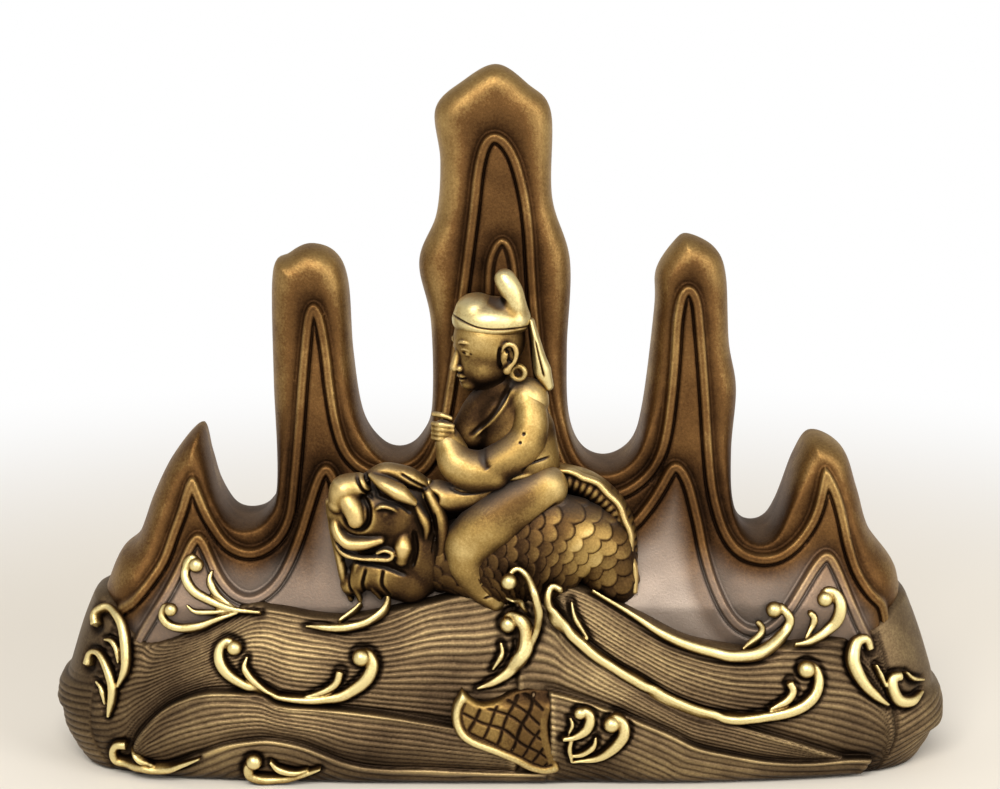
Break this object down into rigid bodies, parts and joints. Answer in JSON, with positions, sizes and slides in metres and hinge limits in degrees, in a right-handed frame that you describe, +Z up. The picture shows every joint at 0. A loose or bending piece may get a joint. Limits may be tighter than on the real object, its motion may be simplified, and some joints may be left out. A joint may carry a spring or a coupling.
{
  "type": "brush rest",
  "caption": "Mountain-shaped bronze rest that holds brushes or pens in the valleys between its peaks, with a boy riding a dragon-headed fish over waves.",
  "frame": {"origin": "centre of the foot at table level", "axes": "+X along the row of peaks to the user's right, -Y to the user in front, +Z up"},
  "size_m": [0.134, 0.0399, 0.105],
  "materials": {
    "bronze_patina": "dark brown patina over cast bronze, rubbed lighter on the rims",
    "bronze_wave": "brown patina in fine chased wave lines, their tops rubbed yellow",
    "bronze_bright": "raised bronze rubbed to a yellow polish",
    "bronze_skin": "smooth handled bronze, yellow with brown in its folds"
  },
  "bodies": {
    "root": {"boy_cap": "bronze_bright", "boy_cuff": "bronze_skin", "boy_earring": "bronze_bright", "boy_hands": "bronze_skin", "boy_head": "bronze_skin", "boy_leg": "bronze_skin", "boy_ribbon": "bronze_bright", "boy_robe": "bronze_skin", "boy_sleeve": "bronze_skin", "crest_back_left": "bronze_bright", "crest_back_middle": "bronze_bright", "crest_back_right": "bronze_bright", "crest_chin": "bronze_bright", "crest_far_left": "bronze_bright", "crest_foot_left": "bronze_bright", "crest_foot_middle": "bronze_bright", "crest_knee": "bronze_bright", "crest_left_long": "bronze_bright", "crest_left_pair": "bronze_bright", "crest_right_end": "bronze_bright", "crest_right_long": "bronze_bright", "crest_right_pair": "bronze_bright", "crest_tail": "bronze_bright", "crest_upper_right": "bronze_bright", "fish_body": "bronze_patina", "fish_dorsal_fin": "bronze_patina", "fish_head": "bronze_skin", "fish_tail": "bronze_bright", "mountain": "bronze_patina", "wave_collar": "bronze_wave"}
  },
  "joints": []
}
